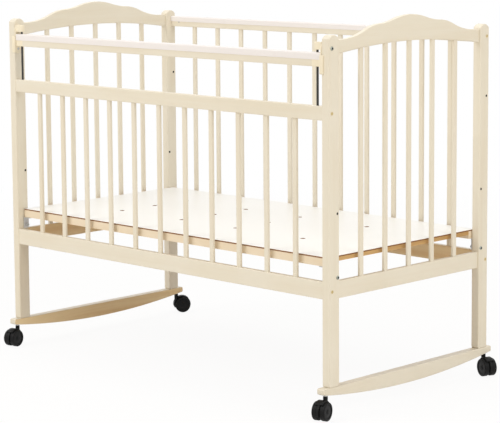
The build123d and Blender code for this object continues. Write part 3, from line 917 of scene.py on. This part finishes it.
@dataclass
class Base:
    """Board with vents, its rails and bars, and their steel supports."""

    board: FacedBoard = FacedBoard()
    rails: LacqueredWood = LacqueredWood(
        Grain.X,
        name="base_wood",
        body=(0.850, 0.715, 0.530),
        streak=(0.790, 0.600, 0.380),
        pale=(0.880, 0.770, 0.620),
    )
    bars: PlanedWood = PlanedWood(Grain.Y)
    steel: Steel = Steel("bright_zinc", (0.620, 0.610, 0.590), (0.450, 0.440, 0.420), 1.0, 0.32)

    def build(self, dresser: Dresser) -> None:
        """Dresses the base.

        Args:
            dresser: Puts the finishes on.
        """
        dresser.dress(self.board, "base_board")
        dresser.dress(self.rails, "base_rail_front", "base_rail_back")
        dresser.dress(self.bars, "base_end_strips", "base_cross_bars")
        dresser.dress(self.steel, "base_supports", "support_nuts")


@dataclass
class Fasteners:
    """Bolts, caps, nuts, screws and dowels, with modelled bolt heads, caps, and black discs of painted shade
    in the open bores.
    """

    zinc: Steel = Base.steel
    head: Steel = Steel("dull_zinc", (0.420, 0.450, 0.400), (0.300, 0.320, 0.270), 0.9, 0.42)
    # Black for the sockets of the bolt heads: painted shade in the socket.
    black: Steel = DropSide.rods
    cap: Plastic = Plastic("brown_cap", (0.560, 0.430, 0.190), (0.470, 0.340, 0.130), 0.42, 1500.0, 0.00003)
    rim: Plastic = Plastic("cream_cap", (0.800, 0.720, 0.560), (0.740, 0.640, 0.460), 0.42, 1500.0, 0.00003)
    # A black disc sunk in each open bore is painted shade: it stands in for the dark inside of the bore.
    shade_disc: Plastic = Plastic(
        "black_plug", (0.010, 0.009, 0.008), (0.020, 0.018, 0.016), 0.5, 1500.0, 0.00003, gloss=0.2
    )
    dowel: PlanedWood = PlanedWood(Grain.Z)
    post_outside: float = 0.625
    post_inside: float = 0.600
    rail_y: float = 0.308
    low: float = 0.322
    middle: float = 0.766
    high: float = 0.926
    support_y: float = 0.288
    support_z: float = 0.3555
    spare_z: float = 0.516
    cap_radius: float = 0.006
    cap_eye: float = 0.0040
    cap_depth: float = 0.0012
    cap_dish: float = 0.00035
    cap_proud: float = 0.0005
    # Sizes of the black discs of painted shade in the open bores.
    shade_disc_radius: float = 0.0034
    shade_disc_depth: float = 0.004
    shade_disc_rim: float = 0.0008
    shade_disc_dish: float = 0.0004
    shade_disc_sunk: float = 0.0004
    disc_edge: float = 0.0002
    bracket_head: float = 0.0050
    bracket_rise: float = 0.0028
    bracket_shank: float = 0.039
    support_head: float = 0.0048
    support_rise: float = 0.0026
    support_shank: float = 0.0315
    shank_radius: float = 0.003
    socket_radius: float = 0.0030
    socket_share: float = 0.7

    def build(self, dresser: Dresser) -> None:
        """Dresses the fasteners and models the ones that show.

        Args:
            dresser: Puts the finishes on.
        """
        dresser.dress(self.zinc, "frame_bolts", "barrel_nuts", "bracket_screws")
        dresser.dress(self.dowel, "panel_dowels", "foot_dowels")
        bracket_bolt = self.model_bolt(self.bracket_head, self.bracket_rise, self.bracket_shank)
        support_bolt = self.model_bolt(self.support_head, self.support_rise, self.support_shank)
        cap = self.model_disc(self.cap_radius, self.cap_depth, self.cap_radius - self.cap_eye, self.cap_dish)
        # The black disc of painted shade for the open bores.
        shade_disc = self.model_disc(self.shade_disc_radius, self.shade_disc_depth, self.shade_disc_rim, self.shade_disc_dish)
        for face in cap.data.polygons:
            inside = face.center.xy.length < self.cap_eye and face.normal.z > 0.5
            face.material_index = 1 if inside else 0
        cap_face = self.post_outside + self.cap_proud
        for side, sign in SIDES:
            place = Bench.outwards(sign, -self.rail_y, self.high, self.post_outside)
            self.put_bolt(dresser, bracket_bolt, f"bracket_bolt_{side}", place, "bracket_bolts")
            for end, hand in (("front", -1), ("back", 1)):
                place = Bench.outwards(sign, hand * self.support_y, self.support_z, self.post_outside)
                self.put_bolt(dresser, support_bolt, f"support_bolt_{end}_{side}", place, "support_bolts")
                upper = self.middle if hand < 0 else self.high
                for level, height in (("low", self.low), ("high", upper)):
                    name = f"cap_{end}_{side}_{level}"
                    place = Bench.outwards(sign, hand * self.rail_y, height, cap_face)
                    copy = dresser.put(cap, name, place, "frame", "brown_plastic", self.rim, self.cap)
                    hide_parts("bolt_caps")
            self.paint_bore_shade(dresser, shade_disc, side, sign)
        for model in (bracket_bolt, support_bolt, cap, shade_disc):
            bpy.data.objects.remove(model)

    def put_bolt(
        self, dresser: Dresser, model: bpy.types.Object, name: str, place: Matrix, node: str
    ) -> None:
        """Puts a bolt in the place of one in a CAD node.

        Args:
            dresser: Puts the finishes on.
            model: The bolt to copy.
            name: The copy's name.
            place: Where it goes and how it is turned.
            node: The node that it stands for.
        """
        # Material 1, the black finish, paints shade into the socket.
        bolt = dresser.put(model, name, place, "frame", "zinc_steel", self.head, self.black)
        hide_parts(node)

    def paint_bore_shade(self, dresser: Dresser, shade_disc: bpy.types.Object, side: str, sign: int) -> None:
        """Puts a black disc into each mouth of the bores of one end's posts that hold no bolt, as painted
        shade inside the bore.

        Args:
            dresser: Puts the finishes on.
            shade_disc: The black disc of painted shade, to copy.
            side: The end's name.
            sign: -1 for the left end, 1 for the right.
        """
        bores = (
            ("back", self.rail_y, self.middle),
            ("spare_front", -self.support_y, self.spare_z),
            ("spare_back", self.support_y, self.spare_z),
        )
        for name, depth, height in bores:
            outer = Bench.outwards(sign, depth, height, self.post_outside - self.shade_disc_sunk)
            inner = Bench.outwards(sign, depth, height, self.post_inside + self.shade_disc_sunk, flip=-1)
            for face, place in (("outer", outer), ("inner", inner)):
                # Each mouth of the bore gets a black disc of painted shade.
                dresser.put(shade_disc, f"plug_{name}_{side}_{face}", place, "frame", "black_plastic", self.shade_disc)

    def model_disc(self, radius: float, depth: float, rim: float, dish: float) -> bpy.types.Object:
        """Models a round cap that faces +Z with its top at the origin, dished inside its rim.

        Args:
            radius: The cap's radius.
            depth: Its thickness.
            rim: Width of its rim.
            dish: Depth of the dish.

        Returns:
            The cap.
        """
        disc = Bench.cylinder(radius, depth, (0, 0, -depth / 2), 40)
        bpy.ops.object.mode_set(mode="EDIT")
        Bench.pick(disc, lambda face: face.normal.z > 0.9)
        bpy.ops.mesh.inset(thickness=rim)
        bpy.ops.mesh.inset(thickness=dish)
        bpy.ops.transform.translate(value=(0, 0, -dish))
        bpy.ops.object.mode_set(mode="OBJECT")
        Bench.soften(disc, self.disc_edge, 2)
        return Bench.smooth(disc, angle=40.0)

    def model_bolt(self, head: float, rise: float, length: float) -> bpy.types.Object:
        """Models a bolt with a round head and a hexagon socket, facing +Z with its seat at the origin.

        Args:
            head: Radius of the head.
            rise: Height of the head.
            length: Length of the shank.

        Returns:
            The bolt; the socket's faces have material number 1, which takes the black finish as painted
            shade in the socket.
        """
        sunk = rise * self.socket_share
        bolt = Bench.cylinder(head, rise, (0, 0, rise / 2))
        bpy.ops.object.mode_set(mode="EDIT")
        Bench.pick(bolt, lambda face: face.normal.z > 0.9)
        bpy.ops.mesh.bevel(offset=sunk, segments=4, affect="EDGES")
        Bench.pick(bolt, lambda face: face.normal.z < -0.9)
        bpy.ops.mesh.inset(thickness=head - self.shank_radius)
        bpy.ops.mesh.extrude_region_move(TRANSFORM_OT_translate={"value": (0, 0, -length)})
        bpy.ops.object.mode_set(mode="OBJECT")
        Bench.combine(bolt, Bench.cylinder(self.socket_radius, 2 * sunk, (0, 0, rise), 6), "DIFFERENCE")
        # Faces inside the socket take material 1: black for painted shade in the socket.
        for face in bolt.data.polygons:
            sunken = rise - sunk - HAIR < face.center.z < rise - HAIR
            inside = face.center.xy.length < self.socket_radius * 1.01
            face.material_index = 1 if sunken and inside else 0
        return Bench.smooth(bolt, angle=35.0)


@dataclass
class Casters:
    """Twin-wheel casters: sockets, stems, slim hoods, axles and wheels, with a cap on each wheel."""

    black: Plastic = Plastic(
        "caster_plastic", (0.005, 0.005, 0.005), (0.012, 0.011, 0.010), 0.42, 1100.0, 0.00005, gloss=0.18
    )
    tread: Plastic = Plastic(
        "wheel_plastic", (0.005, 0.005, 0.005), (0.014, 0.012, 0.010), 0.52, 800.0, 0.00007, gloss=0.18
    )
    steel: Steel = Base.steel
    stem_x: float = 0.6125
    stem_y: float = 0.320
    trail: float = 0.019
    axle_height: float = 0.024
    wheel_face: float = 0.01825
    dish_depth: float = 0.0015
    cap_radius: float = 0.0164
    cap_rise: float = 0.0012
    cap_edge: float = 0.00018
    rim_width: float = 0.0021
    hub_radius: float = 0.0066
    hub_edge: float = 0.0012
    hub_rise: float = 0.00048
    seam: float = 0.000002
    fender_middle: float = 0.0265
    fender_edge: float = 0.0175
    outer_share: float = 0.55
    inner_share: float = 0.70
    neck_inside: float = 0.0065
    neck_outside: float = 0.0085
    neck_share: float = 0.76

    def build(self, dresser: Dresser) -> None:
        """Dresses the four casters, models their hoods and caps their wheels.

        Args:
            dresser: Puts the finishes on.
        """
        dresser.dress(self.steel, "caster_sockets", "caster_stems")
        cap = self.model_cap()
        hood = self.model_hood(dresser.nodes["caster_hood_front_left"])
        for corner in Corner:
            name = corner.name.lower()
            dresser.dress(self.tread, f"caster_wheels_{name}")
            dresser.dress(self.black, f"caster_axle_{name}")
            stand = self.stand(corner)
            copy = dresser.put(hood, f"hood_{name}", stand, f"caster_{name}", "black_plastic", self.black)
            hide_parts(f"caster_hood_{name}")
            for hand in (-1, 1):
                side = "outer" if hand > 0 else "inner"
                label = f"wheel_cap_{name}_{side}"
                place = self.cap_place(corner, hand)
                dresser.put(cap, label, place, f"wheels_{name}", "black_plastic", self.black)
        bpy.data.objects.remove(cap)
        bpy.data.objects.remove(hood)

    def stand(self, corner: Corner) -> Matrix:
        """Place of a caster: its stem on the Z axis, trailing along +X before it is turned.

        Args:
            corner: The caster.

        Returns:
            The place.
        """
        sign_x, sign_y, degrees = corner.value
        stem = Vector((MIDDLE_X + sign_x * self.stem_x, sign_y * self.stem_y, 0.0))
        return Matrix.Translation(stem) @ Matrix.Rotation(math.radians(degrees), 4, "Z")

    def model_hood(self, solid: bpy.types.Object) -> bpy.types.Object:
        """Models a hood from the CAD one, with a slimmer neck and a fender that rounds off over the wheels.

        Args:
            solid: The front left hood.

        Returns:
            The hood, at the stand of an unturned caster.
        """
        Bench.start()
        hood = bpy.data.objects.new("hood", solid.data.copy())
        bpy.context.scene.collection.objects.link(hood)
        hood.data.transform(self.stand(Corner.FRONT_LEFT).inverted())
        hood.data.materials.clear()
        hood.select_set(True)
        bpy.context.view_layer.objects.active = hood
        bpy.ops.object.mode_set(mode="EDIT")
        bpy.ops.mesh.select_all(action="SELECT")
        bpy.ops.mesh.remove_doubles(threshold=self.seam)
        for low, high, share in (
            (self.fender_middle, 1.0, self.outer_share),
            (0.0, self.fender_middle, self.inner_share),
        ):
            Bench.pick_points(hood, lambda point: self.on_fender(point, low, high))
            bpy.ops.transform.resize(value=(1, share, 1), center_override=(0, 0, 0))
        Bench.pick_points(hood, self.on_neck)
        bpy.ops.transform.resize(value=(self.neck_share, self.neck_share, 1), center_override=(0, 0, 0))
        bpy.ops.object.mode_set(mode="OBJECT")
        return Bench.smooth(hood, angle=50.0)

    def on_neck(self, point: Vector) -> bool:
        """Whether a point lies on the outside of the neck.

        Args:
            point: The point.

        Returns:
            True for a point on the neck.
        """
        return self.neck_inside < point.xy.length < self.neck_outside and point.z > self.axle_height

    def on_fender(self, point: Vector, low: float, high: float) -> bool:
        """Whether a point lies on the fender's side rim, between two distances from the axle.

        Args:
            point: The point.
            low: The smaller distance.
            high: The larger distance.

        Returns:
            True for a point on that rim.
        """
        away = math.hypot(point.x - self.trail, point.z - self.axle_height)
        return abs(point.y) > self.fender_edge and low < away <= high

    def model_cap(self) -> bpy.types.Object:
        """Models a cap with a raised hub for a wheel's dish, facing +Z with its middle at the origin.

        Returns:
            The cap, to be copied.
        """
        cap = Bench.cylinder(self.cap_radius, self.cap_rise, (0, 0, 0))
        bpy.ops.object.mode_set(mode="EDIT")
        Bench.pick(cap, lambda face: face.normal.z > 0.9)
        bpy.ops.mesh.inset(thickness=self.rim_width)
        bpy.ops.mesh.inset(thickness=self.cap_radius - self.rim_width - self.hub_radius)
        bpy.ops.mesh.inset(thickness=self.hub_edge)
        bpy.ops.transform.translate(value=(0, 0, self.hub_rise))
        bpy.ops.object.mode_set(mode="OBJECT")
        Bench.soften(cap, self.cap_edge, 2)
        return Bench.smooth(cap, angle=40.0)

    def cap_place(self, corner: Corner, hand: int) -> Matrix:
        """Place of a wheel's cap.

        Args:
            corner: The caster.
            hand: -1 or 1, the wheel along the axle.

        Returns:
            The place of a cap that faces +Z at the origin.
        """
        turn = math.radians(corner.value[2])
        along = Vector((math.sin(turn), -math.cos(turn), 0.0)) * hand
        middle = self.stand(corner) @ Vector((self.trail, 0.0, self.axle_height))
        seat = middle + along * (self.wheel_face - self.dish_depth)
        return Matrix.Translation(seat) @ along.to_track_quat("Z", "Y").to_matrix().to_4x4()


@dataclass
class Studio:
    """Floor, soft lamps and the camera at the photograph's place."""

    floor: Backdrop = Backdrop()
    floor_size: float = 14.0
    room: float = 0.52
    air: Triple = (1.0, 0.955, 0.88)
    lens: float = 137.36
    eye: Triple = (3.74905 + MIDDLE_X, -3.75663, 1.2498)
    azimuth: float = 44.65
    elevation: float = 7.01
    roll: float = -0.41
    shift: float = -0.123
    target: Triple = (0.0, 0.0, 0.5)
    lamps: tuple[tuple[str, Triple, float, float], ...] = (
        ("key_lamp", (-1.6, -3.6, 3.6), 2.6, 92.0),
        ("side_lamp", (3.8, -0.6, 2.6), 2.4, 50.0),
        ("top_lamp", (0.0, 0.6, 4.2), 3.0, 50.0),
    )

    def build(self, dresser: Dresser) -> None:
        """Makes the floor, the world, the lamps and the camera.

        Args:
            dresser: Puts the finishes on.
        """
        bpy.ops.mesh.primitive_plane_add(size=self.floor_size)
        floor = bpy.context.object
        floor.name = "studio_floor"
        floor.data.materials.append(dresser.material(self.floor))
        self.make_world()
        for name, place, size, power in self.lamps:
            self.make_lamp(name, place, size, power)
        self.make_camera()
        bpy.context.scene.view_settings.view_transform = "Standard"
        LOG.info("studio ready")

    def make_world(self) -> None:
        """White for the camera and in reflections, a plain soft fill for the rest."""
        world = bpy.data.worlds.new("studio_air")
        bpy.context.scene.world = world
        world.use_nodes = True
        graph = Graph(world.node_tree)
        fill = graph.node("ShaderNodeBackground", {}, {"Color": self.air, "Strength": self.room})
        white = graph.node("ShaderNodeBackground", {}, {"Color": WHITE})
        soft, bright = Wire(graph, fill.outputs[0]), Wire(graph, white.outputs[0])
        mix = graph.node("ShaderNodeMixShader", {}, {0: graph.seen(), 1: soft, 2: bright})
        graph.node("ShaderNodeOutputWorld", {}, {"Surface": Wire(graph, mix.outputs[0])})

    def make_lamp(self, name: str, place: Triple, size: float, power: float) -> None:
        """Adds a square area lamp that points at the crib.

        Args:
            name: The lamp's name.
            place: Where it hangs, in metres.
            size: Its side in metres.
            power: Its power in watts.
        """
        bpy.ops.object.light_add(type="AREA", location=place)
        lamp = bpy.context.object
        lamp.name = name
        lamp.data.size = size
        lamp.data.energy = power
        aim = Vector(self.target) - Vector(place)
        lamp.rotation_euler = aim.to_track_quat("-Z", "Y").to_euler()

    def make_camera(self) -> None:
        """Adds the camera with the photograph's place, turn and lens."""
        turn, lift, lean = (math.radians(a) for a in (self.azimuth, self.elevation, self.roll))
        back = Vector((math.sin(turn) * math.cos(lift), -math.cos(turn) * math.cos(lift), math.sin(lift)))
        right = Vector((math.cos(turn), math.sin(turn), 0.0))
        above = back.cross(right)
        across = math.cos(lean) * right + math.sin(lean) * above
        upright = -math.sin(lean) * right + math.cos(lean) * above
        axes = Matrix((across, upright, back)).transposed()
        bpy.ops.object.camera_add()
        camera = bpy.context.object
        camera.name = "photo_camera"
        camera.matrix_world = Matrix.Translation(Vector(self.eye)) @ axes.to_4x4()
        camera.data.sensor_width = 36.0
        camera.data.sensor_fit = "HORIZONTAL"
        camera.data.lens = self.lens
        camera.data.shift_y = self.shift
        camera.data.clip_end = 60.0
        bpy.context.scene.camera = camera


def main() -> None:
    """Loads the frame and builds every sub-assembly, logging each one."""
    logging.basicConfig(level=logging.INFO, format="%(name)s: %(message)s")
    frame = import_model()
    bpy.ops.object.select_all(action="DESELECT")
    dresser = Dresser(frame)
    for part in (FrameEnds(), LongSides(), DropSide(), Base(), Fasteners(), Casters(), Studio()):
        part.build(dresser)
        LOG.info("%s built", type(part).__name__)


if __name__ == "__main__":
    main()
